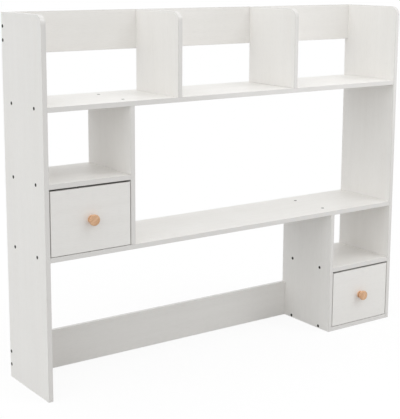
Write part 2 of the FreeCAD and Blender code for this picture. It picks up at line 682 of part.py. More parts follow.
def build_drawer(side, bay_left, bay_width, bay_floor, shelf_over):
    """An inset drawer: front, box, grooved-in bottom, glides, knob, and the stop block over it."""
    name = f"{side}_drawer"
    left = f"({bay_left} + dims.front_side_gap)"
    width = f"({bay_width} - 2 * dims.front_side_gap)"
    lift = "(dims.glide_thickness + dims.running_clearance)"
    floor = f"({bay_floor} + {lift})"
    front_height = f"(dims.drawer_bay_height - {lift} - dims.front_top_gap)"
    box_height = f"({front_height} - dims.box_top_drop)"
    box_front = f"({FRONT} + {BOARD})"
    box_length = f"({DEPTH} - {BOARD} - dims.drawer_rear_gap)"
    wall = "dims.drawer_board"
    inner_width = f"({width} - 2 * {wall})"
    back_front = f"({box_front} + {box_length} - {wall})"

    front = Board(f"{name}_front", "y", (left, FRONT, floor), (width, BOARD, front_height))
    left_wall = Board(f"{name}_left_side", "x", (left, box_front, floor), (wall, box_length, box_height))
    right_wall = Board(f"{name}_right_side", "x", (f"({left} + {width} - {wall})", box_front, floor),
                       (wall, box_length, box_height))
    back = Board(f"{name}_back", "y", (f"({left} + {wall})", back_front, floor),
                 (inner_width, wall, box_height))
    doc.recompute()

    # The bottom slides in grooves in all four boards.
    groove_high = "(dims.drawer_bottom_thickness + dims.groove_clearance)"
    reach = "(dims.groove_depth - dims.groove_clearance)"
    bottom_left = f"({left} + {wall} - {reach})"
    bottom_width = f"({inner_width} + 2 * {reach})"
    bottom_length = f"({back_front} - {box_front} + 2 * {reach})"
    bottom_under = f"({floor} + dims.groove_height + dims.groove_clearance / 2)"
    Board(f"{name}_bottom", "z", (bottom_left, f"({box_front} - {reach})", bottom_under),
          (bottom_width, bottom_length, "dims.drawer_bottom_thickness"))
    groove_deep = "dims.groove_depth"
    groove_start = ("0", "dims.groove_height")
    stopped_start = (f"({wall} - {groove_deep})", "dims.groove_height")
    stopped_width = f"({inner_width} + 2 * {groove_deep})"
    cut_groove(front, "y", stopped_start, (stopped_width, groove_high, groove_deep), -1)
    cut_groove(left_wall, "x", groove_start, (box_length, groove_high, groove_deep), -1)
    cut_groove(right_wall, "x", groove_start, (box_length, groove_high, groove_deep), 1)
    cut_groove(back, "y", groove_start, (inner_width, groove_high, groove_deep), 1)

    # Dowels join the front to the sides, and screws join the sides to the back.
    quarters = [f"({floor} + {share} * {box_height} / 4)" for share in (1, 3)]
    dowel_hole = "(dims.dowel_diameter + 2 * dims.hole_clearance)"
    hole_in_front = "(dims.dowel_in_front + dims.hole_end_clearance / 2)"
    hole_in_wall = "(dims.dowel_length - dims.dowel_in_front + dims.hole_end_clearance / 2)"
    dowels = []
    for wall_board in (left_wall, right_wall):
        for height in quarters:
            point = {"x": board_middle(wall_board, "x"), "z": height}
            front.ask_hole("y", -1, point, dowel_hole, hole_in_front)
            wall_board.ask_hole("y", 1, point, dowel_hole, hole_in_wall)
            dowel = doc.addObject("Part::Cylinder", f"{name}_dowel")
            dowel.setExpression("Radius", "dims.dowel_diameter / 2")
            dowel.setExpression("Height", "dims.dowel_length")
            place(dowel, (point["x"], f"({box_front} - dims.dowel_in_front)", height), AIM["y", 1])
            dowels.append(dowel)
    compound(f"{name}_dowels", dowels)
    back_points = [{"y": board_middle(back, "y"), "z": height} for height in quarters]
    fasten(f"{name}_screws", box_screw, left_wall, back, "x", 1, back_points)
    fasten(f"{name}_screws", box_screw, right_wall, back, "x", -1, back_points)

    # Two plastic strips carry the box.
    glides = []
    for wall_board in (left_wall, right_wall):
        strip = doc.addObject("Part::Box", f"{name}_glide")
        strip.setExpression("Length", "dims.glide_width")
        strip.setExpression("Width", f"{box_length} - 2 * dims.glide_setback")
        strip.setExpression("Height", "dims.glide_thickness")
        strip_left = f"{board_middle(wall_board, 'x')} - dims.glide_width / 2"
        strip_front = f"{box_front} + dims.glide_setback"
        place(strip, (strip_left, strip_front, f"{bay_floor} + dims.running_clearance"))
        glides.append(strip)
    compound(f"{name}_glides", glides)

    knob_place = {"x": middle(left, width), "z": middle(floor, front_height)}
    knob_hole = build_knob(side, knob_place["x"], FRONT, knob_place["z"])
    front.ask_hole("y", -1, knob_place, knob_hole, BOARD)

    # The stop block hangs from the shelf over the drawer, just behind its front: the front rests against it
    # when the drawer is shut, and the drawer's back meets it when the drawer is out.
    stop_height = "(dims.front_top_gap + dims.box_top_drop + dims.stop_overlap)"
    shelf_under = shelf_over.corner["z"]
    stop_left = f"({middle(bay_left, bay_width)} - dims.stop_width / 2)"
    stop = Board(f"{name}_stop", "z",
                 (stop_left, f"({box_front} + dims.stop_clearance)", f"({shelf_under} - {stop_height})"),
                 ("dims.stop_width", "dims.stop_depth", stop_height))
    stop_points = [{"x": f"({stop_left} + {share} * dims.stop_width / 4)", "y": board_middle(stop, "y")}
                   for share in (1, 3)]
    fasten(f"{name}_stop_screws", box_screw, stop, shelf_over, "z", 1, stop_points)
    return [front, left_wall, right_wall, back, stop]


drawer_boards = build_drawer("left", INNER_LEFT, "dims.left_bay_width", MAIN_SHELF_TOP, left_niche_shelf)
drawer_boards += build_drawer("right", RIGHT_BAY_LEFT, "dims.right_bay_width", BOARD, right_niche_shelf)

# ---------------------------------------------------------------------------------------------------------
# Holes and fastener groups
# ---------------------------------------------------------------------------------------------------------

doc.recompute()
carcass_boards = [left_side, right_side, top_shelf, main_shelf, top_rail, low_rail, *dividers, left_upright,
                  leg, left_niche_shelf, right_niche_shelf, right_bottom, left_back, right_back]
for board in carcass_boards + drawer_boards:
    board.drill_holes()

for label, members in groups.items():
    links = []
    for fastener, axis, towards, head in members:
        link = doc.addObject("App::Link", f"{label}_member")
        link.LinkedObject = fastener.master
        place(link, (head["x"], head["y"], head["z"]), AIM[axis, towards])
        links.append(link)
    compound(label, links)

# ---------------------------------------------------------------------------------------------------------
# Checks and files
# ---------------------------------------------------------------------------------------------------------

doc.recompute()
for thing in doc.Objects:
    if "Invalid" in thing.State or "Error" in thing.State:
        raise RuntimeError(f"{thing.Label} failed: {thing.State}")
for name, removed in cuts:
    if removed <= 0:
        raise RuntimeError(f"{name} cuts nothing")
for part in parts:
    if part.Shape.isNull() or not part.Shape.isValid():
        raise RuntimeError(f"{part.Label} has no valid shape")

os.makedirs("parts", exist_ok=True)
for part in parts:
    part.Shape.exportStep(f"parts/{part.Label}.step")
print(f"{len(parts)} sub-parts written")
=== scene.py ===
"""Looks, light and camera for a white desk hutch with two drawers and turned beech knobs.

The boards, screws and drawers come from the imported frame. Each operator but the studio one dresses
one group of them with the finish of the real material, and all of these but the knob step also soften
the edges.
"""

import math

import bmesh
import bpy
from bpy.props import FloatProperty, FloatVectorProperty, PointerProperty
from mathutils import Matrix, Vector


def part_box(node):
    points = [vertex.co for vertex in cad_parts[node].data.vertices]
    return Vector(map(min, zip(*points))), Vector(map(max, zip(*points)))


bl_info = {
    "name": "Desk Hutch",
    "version": (1, 0, 0),
    "blender": (4, 5, 0),
    "location": "View3D > Sidebar > Hutch",
    "description": "Dresses a white desk hutch with two drawers",
    "category": "Object",
}

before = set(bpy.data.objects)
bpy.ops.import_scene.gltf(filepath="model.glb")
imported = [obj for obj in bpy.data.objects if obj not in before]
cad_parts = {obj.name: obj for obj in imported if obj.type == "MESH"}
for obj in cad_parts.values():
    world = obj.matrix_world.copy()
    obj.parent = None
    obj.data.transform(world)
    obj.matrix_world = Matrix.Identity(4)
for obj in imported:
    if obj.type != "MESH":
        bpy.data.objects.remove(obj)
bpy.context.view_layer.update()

# The frame's pieces, in groups that share a finish
SIDES = ("left", "right")
UPRIGHTS = (
    "left_side_panel",
    "right_side_panel",
    "left_top_divider",
    "right_top_divider",
    "left_niche_upright",
    "right_leg_upright",
)
SHELVES = (
    "top_shelf",
    "main_shelf",
    "left_niche_shelf",
    "right_niche_shelf",
    "right_bottom_panel",
)
RAILS = ("top_back_rail", "low_back_rail")
BAY_BACKS = ("left_bay_back", "right_bay_back")
BACK_PINS = ("left_back_pins", "right_back_pins")
CONNECTOR_SCREWS = (
    "left_side_screws",
    "right_side_screws",
    "top_shelf_screws",
    "top_rail_screws",
    "main_shelf_screws",
    "left_upright_screws",
    "leg_screws",
)

ORIGIN = (0.0, 0.0, 0.0)
X_AXIS = (1.0, 0.0, 0.0)
Y_AXIS = (0.0, 1.0, 0.0)
Z_AXIS = (0.0, 0.0, 1.0)

# Turns that bring the grain's direction onto a pattern's Z
ALONG_Z = (0.0, 0.0, 0.0)
ALONG_X = (0.0, math.radians(90), 0.0)
ALONG_Y = (math.radians(90), 0.0, 0.0)
KNOB_GRAIN_LEAN = {"left": math.radians(-60), "right": math.radians(150)}

# Sizes of the patterns, in metres
PORE_WIDTH = 0.0007
PORE_LENGTH = 0.022
STREAK_WIDTH = 0.030
FLECK_LENGTH = 0.0035
GROWTH_BAND = 0.009
SCUFF_LENGTH = 0.060
SCUFF_WIDTH = 0.004
BOARD_HAZE_PATCH = 0.12
BEECH_HAZE_PATCH = 0.010
METAL_HAZE_PATCH = 0.004

# Length over width of a streak and of a growth band, and width over length of a fleck
STREAK_STRETCH = 14.0
GROWTH_STRETCH = 9.0
FLECK_SLENDERNESS = 0.11

# How many specks lie along a patch of haze, and how many fibres and marks along a metre
SPECKS_IN_PATCH = 90.0
FIBRES_IN_METRE = 900.0
MARKS_IN_METRE = 2500.0

# Values of cloudy noise between which a mark fades in
PORE_NOISE = (0.54, 0.70)
STREAK_NOISE = (0.30, 0.72)
HAZE_NOISE = (0.35, 0.70)
SPECK_NOISE = (0.70, 0.78)
GROWTH_NOISE = (0.35, 0.65)
FLECK_NOISE = (0.60, 0.72)

# How squarely the surface looks along its board's face axis: one on the faces, zero on the edges
BAND_FACING = (0.20, 0.08)
SEAM_START_FACING = (0.10, 0.25)
SEAM_END_FACING = (0.99, 0.95)

# How strongly a mark covers what is under it, and how dark tarnish is beside clean metal
STREAK_COVER = 0.55
PORE_COVER = 0.12
SEAM_COVER = 0.80
DUST_COVER = 0.18
LACQUER_HAZE_COVER = 0.35
FLECK_COVER = 0.45
TARNISH_SHADE = 0.72

# Roughness, from the clean or smooth places to the hazy or bare ones
WHOLE_RANGE = (0.0, 1.0)
FACING_ROUGHNESS = (0.38, 0.50)
BAND_ROUGHNESS = 0.14
HARDBOARD_ROUGHNESS = (0.48, 0.85)
BEECH_ROUGHNESS = (0.36, 0.52)
LACQUER_ROUGHNESS = 0.25
PLASTIC_ROUGHNESS = (0.28, 0.48)
BLACK_STEEL_ROUGHNESS = (0.55, 0.72)
ZINC_ROUGHNESS = (0.26, 0.42)

# Depth of the relief, in metres
PORE_DEPTH = 0.00006
SCREEN_DEPTH = 0.00003
FLECK_DEPTH = 0.00004
SCUFF_DEPTH = 0.00002
MARK_DEPTH = 0.00002

# How close facets are to be joined and how flat to be one face, and how edges are softened
FACET_GAP = 0.000002
FLAT_WITHIN = math.radians(0.3)
SHARP_FROM = math.radians(40)
BEVEL_STEPS = 2

# Colours of the light, its directions, and the round soft boxes, in metres
SEEN_WHITE = (1.0, 1.0, 1.0)
FLOOR_WHITE = (0.97, 0.97, 0.97)
WARM_LIGHT = (0.993, 0.987, 0.974)
COOL_LIGHT = (0.945, 0.982, 1.000)
LEFT_DIRECTION = (-0.86, -0.28, 0.42)
TOP_DIRECTION = (0.00, 0.14, 0.99)
FRONT_DIRECTION = (0.41, -0.49, 0.77)
NEAR_BOX_PLACE = (1.7, -1.7, 1.0)
NEAR_BOX_WIDTH = 1.45
OVER_BOX_PLACE = (0.6, -1.0, 2.0)
OVER_BOX_WIDTH = 0.8
SOFT_BOX_AIM = (0.0, 0.0, 0.5)

# Width of the camera's frame, in millimetres
CAMERA_FRAME_WIDTH = 36.0

# Spacing of nodes in the editor
COLUMN_WIDTH = 200
ROW_HEIGHT = 180


class HutchSizes(bpy.types.PropertyGroup):
    """Small sizes of the finish"""

    board_edge: FloatProperty(
        name="Board Edge", description="Softening of a board's edges",
        default=0.0007, unit="LENGTH",
    )
    block_edge: FloatProperty(
        name="Block Edge", description="Softening of the stop blocks",
        default=0.0010, unit="LENGTH",
    )
    thin_edge: FloatProperty(
        name="Thin Edge", description="Softening of hardboard, glides and dowels",
        default=0.0003, unit="LENGTH",
    )
    metal_edge: FloatProperty(
        name="Metal Edge", description="Softening of screw and pin heads",
        default=0.00012, unit="LENGTH",
    )
    pore_width: FloatProperty(
        name="Pore Width", description="Width of a pore pressed into the facing",
        default=PORE_WIDTH, unit="LENGTH",
    )
    pore_length: FloatProperty(
        name="Pore Length", description="Length of a pore pressed into the facing",
        default=PORE_LENGTH, unit="LENGTH",
    )
    streak_width: FloatProperty(
        name="Streak Width", description="Width of the facing's faint streaks",
        default=STREAK_WIDTH, unit="LENGTH",
    )
    screen_pitch: FloatProperty(
        name="Screen Pitch", description="Pitch of the mesh pressed into hardboard",
        default=0.0016, unit="LENGTH",
    )
    fleck_length: FloatProperty(
        name="Fleck Length", description="Length of a fleck in the beech",
        default=FLECK_LENGTH, unit="LENGTH",
    )
    growth_band: FloatProperty(
        name="Growth Band", description="Width of a growth band in the beech",
        default=GROWTH_BAND, unit="LENGTH",
    )


class HutchColours(bpy.types.PropertyGroup):
    """Colours of the finish"""

    board: FloatVectorProperty(
        name="Board", description="White facing",
        subtype="COLOR", default=(0.900, 0.882, 0.857), min=0, max=1,
    )
    board_streak: FloatVectorProperty(
        name="Board Streak", description="Streaks in the facing",
        subtype="COLOR", default=(0.868, 0.848, 0.820), min=0, max=1,
    )
    edge_band: FloatVectorProperty(
        name="Edge Band", description="Plastic band on a board's edge",
        subtype="COLOR", default=(0.763, 0.745, 0.724), min=0, max=1,
    )
    glue_line: FloatVectorProperty(
        name="Glue Line", description="Seam between facing and band",
        subtype="COLOR", default=(0.520, 0.505, 0.475), min=0, max=1,
    )
    hardboard: FloatVectorProperty(
        name="Hardboard", description="White lacquer on hardboard",
        subtype="COLOR", default=(0.790, 0.780, 0.755), min=0, max=1,
    )
    fibre: FloatVectorProperty(
        name="Fibre", description="Bare edge of hardboard",
        subtype="COLOR", default=(0.330, 0.215, 0.120), min=0, max=1,
    )
    beech_light: FloatVectorProperty(
        name="Beech Light", description="Early wood",
        subtype="COLOR", default=(0.800, 0.500, 0.300), min=0, max=1,
    )
    beech_dark: FloatVectorProperty(
        name="Beech Dark", description="Late wood",
        subtype="COLOR", default=(0.640, 0.355, 0.190), min=0, max=1,
    )
    beech_fleck: FloatVectorProperty(
        name="Beech Fleck", description="Short dark flecks",
        subtype="COLOR", default=(0.420, 0.200, 0.090), min=0, max=1,
    )
    screw: FloatVectorProperty(
        name="Screw", description="Blackened steel",
        subtype="COLOR", default=(0.060, 0.057, 0.054), min=0, max=1,
    )
    pin: FloatVectorProperty(
        name="Pin", description="Bright zinc on pins and small screws",
        subtype="COLOR", default=(0.560, 0.560, 0.550), min=0, max=1,
    )
    glide: FloatVectorProperty(
        name="Glide", description="Milky plastic",
        subtype="COLOR", default=(0.760, 0.765, 0.740), min=0, max=1,
    )
    glide_worn: FloatVectorProperty(
        name="Worn Glide", description="Scuffs on the milky plastic",
        subtype="COLOR", default=(0.700, 0.695, 0.675), min=0, max=1,
    )
    # The stop blocks' near-black is partly black plastic and partly painted shade, standing in for the
    # shade in the gap above each drawer
    stop: FloatVectorProperty(
        name="Stop", description="Black plastic",
        subtype="COLOR", default=(0.030, 0.030, 0.032), min=0, max=1,
    )
    stop_worn: FloatVectorProperty(
        name="Worn Stop", description="Scuffs on the black plastic",
        subtype="COLOR", default=(0.070, 0.070, 0.072), min=0, max=1,
    )
    floor: FloatVectorProperty(
        name="Floor", description="Colour that the floor throws back",
        subtype="COLOR", default=(0.500, 0.500, 0.500), min=0, max=1,
    )


class HutchStudio(bpy.types.PropertyGroup):
    """Camera and light"""

    camera_place: FloatVectorProperty(
        name="Camera Place", description="Where the camera stands",
        subtype="TRANSLATION", default=(-2.0619, -2.8168, 1.2730),
    )
    camera_turn: FloatProperty(
        name="Camera Turn", description="Turn to the right of straight ahead",
        subtype="ANGLE", default=math.radians(35.24),
    )
    camera_dip: FloatProperty(
        name="Camera Dip", description="Tilt below the horizon",
        subtype="ANGLE", default=math.radians(10.23),
    )
    camera_roll: FloatProperty(
        name="Camera Roll", description="Turn about the line of sight",
        subtype="ANGLE", default=math.radians(0.27),
    )
    focal_length: FloatProperty(
        name="Focal Length", description="On a 36 mm frame",
        subtype="DISTANCE_CAMERA", default=91.84, unit="CAMERA",
    )
    shift: FloatProperty(
        name="Shift", description="Downward shift, as a share of the frame",
        default=0.118,
    )
    room_light: FloatProperty(
        name="Room Light", description="Light from all round",
        default=0.685,
    )
    left_light: FloatProperty(
        name="Left Light", description="Wide light from the left",
        default=0.82,
    )
    top_light: FloatProperty(
        name="Top Light", description="Wide light from above",
        default=0.56,
    )
    front_light: FloatProperty(
        name="Front Light", description="Firmer light from the upper right, which shades the corners",
        default=0.35,
    )
    near_light: FloatProperty(
        name="Near Light", description="Round soft box at the front right, in watts",
        default=5.0,
    )
    over_light: FloatProperty(
        name="Over Light", description="Round soft box over the front, in watts",
        default=0.9,
    )
    wide_light: FloatProperty(
        name="Wide Light", description="How wide a wide light looks",
        subtype="ANGLE", default=math.radians(70),
    )
    firm_light: FloatProperty(
        name="Firm Light", description="How wide the firmer light looks",
        subtype="ANGLE", default=math.radians(30),
    )
    shadow_share: FloatProperty(
        name="Shadow Share", description="How much of its shadow the floor shows",
        subtype="FACTOR", default=0.11, min=0, max=1,
    )
    floor_width: FloatProperty(
        name="Floor Width", description="Side of the floor",
        default=60.0, unit="LENGTH",
    )


def add_node(tree, kind, **settings):
    """Adds a node and gives it its settings."""
    node = tree.nodes.new(kind)
    for name, value in settings.items():
        setattr(node, name, value)
    return node


def feed(tree, socket, source):
    """Feeds a socket from another socket, or gives it a plain value."""
    if isinstance(source, bpy.types.NodeSocket):
        tree.links.new(source, socket)
    else:
        socket.default_value = source


def arrange(tree):
    """Lays the nodes out in columns, each one to the left of the nodes that it feeds."""
    columns = {node.name: 0 for node in tree.nodes}
    # No chain is longer than the number of nodes, so that many passes settle every column.
    for _ in tree.nodes:
        for link in tree.links:
            source, target = link.from_node.name, link.to_node.name
            columns[source] = max(columns[source], columns[target] + 1)
    filled = {}
    for name, column in columns.items():
        row = filled.get(column, 0)
        filled[column] = row + 1
        tree.nodes[name].location = (-column * COLUMN_WIDTH, -row * ROW_HEIGHT)


def calculate(tree, operation, first, second=0.0):
    """One step of arithmetic."""
    node = add_node(tree, "ShaderNodeMath", operation=operation)
    feed(tree, node.inputs[0], first)
    feed(tree, node.inputs[1], second)
    return node.outputs[0]


def calculate_vector(tree, operation, first, second, result="Vector"):
    """One step of vector arithmetic."""
    node = add_node(tree, "ShaderNodeVectorMath", operation=operation)
    feed(tree, node.inputs[0], first)
    feed(tree, node.inputs[1], second)
    return node.outputs[result]


def remap(tree, value, old_range, new_range=WHOLE_RANGE):
    """Stretches one range of a value smoothly onto another."""
    node = add_node(tree, "ShaderNodeMapRange", interpolation_type="SMOOTHSTEP")
    feed(tree, node.inputs["Value"], value)
    feed(tree, node.inputs["From Min"], old_range[0])
    feed(tree, node.inputs["From Max"], old_range[1])
    feed(tree, node.inputs["To Min"], new_range[0])
    feed(tree, node.inputs["To Max"], new_range[1])
    return node.outputs["Result"]


def blend_colours(tree, cover, under, over):
    """Lays one colour over another with some cover."""
    node = add_node(tree, "ShaderNodeMix", data_type="RGBA")
    feed(tree, node.inputs["Factor"], cover)
    feed(tree, node.inputs["A"], under)
    feed(tree, node.inputs["B"], over)
    return node.outputs["Result"]


def add_noise(tree, vector, scale=1.0, detail=2.0, roughness=0.5):
    """Cloudy noise."""
    node = add_node(tree, "ShaderNodeTexNoise")
    feed(tree, node.inputs["Vector"], vector)
    feed(tree, node.inputs["Scale"], scale)
    feed(tree, node.inputs["Detail"], detail)
    feed(tree, node.inputs["Roughness"], roughness)
    return node.outputs["Fac"]


def stretch(tree, vector, across, along):
    """Divides a vector by a width across the grain and a length along it, which is Z."""
    sizes = add_node(tree, "ShaderNodeCombineXYZ")
    feed(tree, sizes.inputs["X"], across)
    feed(tree, sizes.inputs["Y"], across)
    feed(tree, sizes.inputs["Z"], along)
    return calculate_vector(tree, "DIVIDE", vector, sizes.outputs["Vector"])


def new_group(name, inputs, outputs):
    """Starts a shader node group and returns its tree, what it is given and what it puts out.

    The inputs come as names with defaults, and the outputs as names.
    """
    tree = bpy.data.node_groups.new(name, "ShaderNodeTree")
    for socket_name, default in inputs.items():
        kind = "NodeSocketVector" if isinstance(default, tuple) else "NodeSocketFloat"
        socket = tree.interface.new_socket(socket_name, in_out="INPUT", socket_type=kind)
        socket.default_value = default
    for socket_name in outputs:
        tree.interface.new_socket(socket_name, in_out="OUTPUT", socket_type="NodeSocketFloat")
    start = add_node(tree, "NodeGroupInput")
    end = add_node(tree, "NodeGroupOutput")
    return tree, start.outputs, end.inputs


def pressed_grain_group():
    """Pores and streaks of a facing that is pressed to look like wood."""
    tree, given, wanted = new_group(
        "pressed_grain",
        {
            "Vector": ORIGIN,
            "Pore Width": PORE_WIDTH,
            "Pore Length": PORE_LENGTH,
            "Streak Width": STREAK_WIDTH,
        },
        ("Pores", "Streaks"),
    )
    pore_space = stretch(tree, given["Vector"], given["Pore Width"], given["Pore Length"])
    pore_noise = add_noise(tree, pore_space, detail=1.0)
    feed(tree, wanted["Pores"], remap(tree, pore_noise, PORE_NOISE))
    streak_length = calculate(tree, "MULTIPLY", given["Streak Width"], STREAK_STRETCH)
    streak_space = stretch(tree, given["Vector"], given["Streak Width"], streak_length)
    streak_noise = add_noise(tree, streak_space, detail=4.0, roughness=0.65)
    feed(tree, wanted["Streaks"], remap(tree, streak_noise, STREAK_NOISE))
    arrange(tree)
    return tree


def edge_group():
    """Tells a board's bands and the seams beside them from its faces, by where the surface looks."""
    tree, given, wanted = new_group(
        "board_edges",
        {"Normal": Z_AXIS, "Face Axis": Z_AXIS},
        ("Band", "Seam"),
    )
    along_axis = calculate_vector(tree, "DOT_PRODUCT", given["Normal"], given["Face Axis"], "Value")
    facing = calculate(tree, "ABSOLUTE", along_axis)
    feed(tree, wanted["Band"], remap(tree, facing, BAND_FACING))
    seam_start = remap(tree, facing, SEAM_START_FACING)
    seam_end = remap(tree, facing, SEAM_END_FACING)
    feed(tree, wanted["Seam"], calculate(tree, "MULTIPLY", seam_start, seam_end))
    arrange(tree)
    return tree


def handling_group():
    """Faint haze from wiping and handling, and fine specks of dust."""
    tree, given, wanted = new_group(
        "handling",
        {"Vector": ORIGIN, "Patch Size": BOARD_HAZE_PATCH},
        ("Haze", "Specks"),
    )
    patch_space = stretch(tree, given["Vector"], given["Patch Size"], given["Patch Size"])
    haze_noise = add_noise(tree, patch_space, detail=5.0, roughness=0.6)
    feed(tree, wanted["Haze"], remap(tree, haze_noise, HAZE_NOISE))
    speck_noise = add_noise(tree, patch_space, scale=SPECKS_IN_PATCH, detail=1.0)
    feed(tree, wanted["Specks"], remap(tree, speck_noise, SPECK_NOISE))
    arrange(tree)
    return tree


def beech_group():
    """Growth bands and flecks of beech, with the grain along Z."""
    tree, given, wanted = new_group(
        "beech_grain",
        {"Vector": ORIGIN, "Fleck Length": FLECK_LENGTH, "Growth Band": GROWTH_BAND},
        ("Growth", "Flecks"),
    )
    band_length = calculate(tree, "MULTIPLY", given["Growth Band"], GROWTH_STRETCH)
    band_space = stretch(tree, given["Vector"], given["Growth Band"], band_length)
    band_noise = add_noise(tree, band_space, detail=3.0, roughness=0.55)
    feed(tree, wanted["Growth"], remap(tree, band_noise, GROWTH_NOISE))
    fleck_width = calculate(tree, "MULTIPLY", given["Fleck Length"], FLECK_SLENDERNESS)
    fleck_space = stretch(tree, given["Vector"], fleck_width, given["Fleck Length"])
    fleck_noise = add_noise(tree, fleck_space, detail=1.0)
    feed(tree, wanted["Flecks"], remap(tree, fleck_noise, FLECK_NOISE))
    arrange(tree)
    return tree


GROUP_MAKERS = {
    "pressed_grain": pressed_grain_group,
    "board_edges": edge_group,
    "handling": handling_group,
    "beech_grain": beech_group,
}


def use_group(tree, name, **values):
    """Places a shared effect in a material. Its tree is made the first time."""
    node = add_node(tree, "ShaderNodeGroup")
    node.node_tree = bpy.data.node_groups.get(name) or GROUP_MAKERS[name]()
    for socket_name, value in values.items():
        feed(tree, node.inputs[socket_name.replace("_", " ").title()], value)
    return node.outputs


def rgba(colour):
    """A colour with full cover, as a colour socket takes it."""
    return (*colour, 1.0)


def new_finish(name, **constants):
    """Starts a material and returns its tree, its shader and its coordinates."""
    material = bpy.data.materials.new(name)
    material.use_nodes = True
    tree = material.node_tree
    tree.nodes.clear()
    shader = add_node(tree, "ShaderNodeBsdfPrincipled")
    output = add_node(tree, "ShaderNodeOutputMaterial")
    feed(tree, output.inputs["Surface"], shader.outputs["BSDF"])
    for socket_name, value in constants.items():
        shader.inputs[socket_name.replace("_", " ")].default_value = value
    coordinates = add_node(tree, "ShaderNodeTexCoord")
    return material, tree, shader.inputs, coordinates.outputs


def lay_grain(tree, vector, turn, centre=ORIGIN):
    """Centres and turns a pattern on a piece, so that its grain runs along the pattern's Z."""
    centred = calculate_vector(tree, "SUBTRACT", vector, centre)
    mapping = add_node(tree, "ShaderNodeMapping")
    feed(tree, mapping.inputs["Vector"], centred)
    feed(tree, mapping.inputs["Rotation"], turn)
    return mapping.outputs["Vector"]


def add_relief(tree, shader, height, depth):
    """Raises a surface by a height, where a height of one is a depth in metres."""
    bump = add_node(tree, "ShaderNodeBump")
    feed(tree, bump.inputs["Height"], height)
    feed(tree, bump.inputs["Distance"], depth)
    feed(tree, bump.inputs["Strength"], 1.0)
    feed(tree, shader["Normal"], bump.outputs["Normal"])


def board_finish(scene, name, face_axis, grain_turn):
    """White pressed facing with smoother plastic bands on the edges."""
    sizes, colours = scene.hutch_sizes, scene.hutch_colours
    material, tree, shader, coordinates = new_finish(name, Coat_Roughness=BAND_ROUGHNESS)
    vector = lay_grain(tree, coordinates["Object"], grain_turn)
    grain = use_group(
        tree,
        "pressed_grain",
        vector=vector,
        pore_width=sizes.pore_width,
        pore_length=sizes.pore_length,
        streak_width=sizes.streak_width,
    )
    edges = use_group(tree, "board_edges", normal=coordinates["Normal"], face_axis=face_axis)
    handling = use_group(tree, "handling", vector=vector)
    streaks = calculate(tree, "MULTIPLY", grain["Streaks"], STREAK_COVER)
    facing = blend_colours(tree, streaks, rgba(colours.board), rgba(colours.board_streak))
    pores = calculate(tree, "MULTIPLY", grain["Pores"], PORE_COVER)
    pored = blend_colours(tree, pores, facing, rgba(colours.glue_line))
    banded = blend_colours(tree, edges["Band"], pored, rgba(colours.edge_band))
    seams = calculate(tree, "MULTIPLY", edges["Seam"], SEAM_COVER)
    seamed = blend_colours(tree, seams, banded, rgba(colours.glue_line))
    dust = calculate(tree, "MULTIPLY", handling["Specks"], DUST_COVER)
    dusted = blend_colours(tree, dust, seamed, rgba(colours.edge_band))
    feed(tree, shader["Base Color"], dusted)
    feed(tree, shader["Roughness"], remap(tree, handling["Haze"], WHOLE_RANGE, FACING_ROUGHNESS))
    feed(tree, shader["Coat Weight"], edges["Band"])
    plain_face = calculate(tree, "SUBTRACT", 1.0, edges["Band"])
    pressed = calculate(tree, "MULTIPLY", grain["Pores"], plain_face)
    add_relief(tree, shader, calculate(tree, "SUBTRACT", 1.0, pressed), PORE_DEPTH)
    arrange(tree)
    return material


def hardboard_finish(scene, name, face_axis, grain_turn):
    """White lacquered hardboard: a mesh is pressed into it and its edges are bare fibre."""
    sizes, colours = scene.hutch_sizes, scene.hutch_colours
    material, tree, shader, coordinates = new_finish(name)
    vector = lay_grain(tree, coordinates["Object"], grain_turn)
    edges = use_group(tree, "board_edges", normal=coordinates["Normal"], face_axis=face_axis)
    handling = use_group(tree, "handling", vector=vector)
    wave = sizes.screen_pitch / math.tau
    turns = stretch(tree, vector, wave, wave)
    parts = add_node(tree, "ShaderNodeSeparateXYZ")
    feed(tree, parts.inputs["Vector"], turns)
    warp = calculate(tree, "SINE", parts.outputs["X"])
    weft = calculate(tree, "SINE", parts.outputs["Z"])
    screen = calculate(tree, "MULTIPLY", warp, weft)
    haze = calculate(tree, "MULTIPLY", handling["Haze"], LACQUER_HAZE_COVER)
    lacquer = blend_colours(tree, haze, rgba(colours.hardboard), rgba(colours.edge_band))
    fibre_noise = add_noise(tree, vector, scale=FIBRES_IN_METRE)
    fibre = blend_colours(tree, fibre_noise, rgba(colours.fibre), rgba(colours.beech_dark))
    bare = calculate(tree, "MAXIMUM", edges["Band"], edges["Seam"])
    feed(tree, shader["Base Color"], blend_colours(tree, bare, lacquer, fibre))
    feed(tree, shader["Roughness"], remap(tree, bare, WHOLE_RANGE, HARDBOARD_ROUGHNESS))
    add_relief(tree, shader, screen, SCREEN_DEPTH)
    arrange(tree)
    return material


def beech_finish(scene, name, grain_turn, centre, lacquer):
    """Beech with growth bands and short flecks, and with some or no lacquer."""
    sizes, colours = scene.hutch_sizes, scene.hutch_colours
    material, tree, shader, coordinates = new_finish(
        name, Coat_Weight=lacquer, Coat_Roughness=LACQUER_ROUGHNESS
    )
    vector = lay_grain(tree, coordinates["Object"], grain_turn, centre)
    grain = use_group(
        tree,
        "beech_grain",
        vector=vector,
        fleck_length=sizes.fleck_length,
        growth_band=sizes.growth_band,
    )
    handling = use_group(tree, "handling", vector=vector, patch_size=BEECH_HAZE_PATCH)
    wood = blend_colours(tree, grain["Growth"], rgba(colours.beech_light), rgba(colours.beech_dark))
    flecks = calculate(tree, "MULTIPLY", grain["Flecks"], FLECK_COVER)
    feed(tree, shader["Base Color"], blend_colours(tree, flecks, wood, rgba(colours.beech_fleck)))
    feed(tree, shader["Roughness"], remap(tree, handling["Haze"], WHOLE_RANGE, BEECH_ROUGHNESS))
    add_relief(tree, shader, calculate(tree, "SUBTRACT", 1.0, grain["Flecks"]), FLECK_DEPTH)
    arrange(tree)
    return material


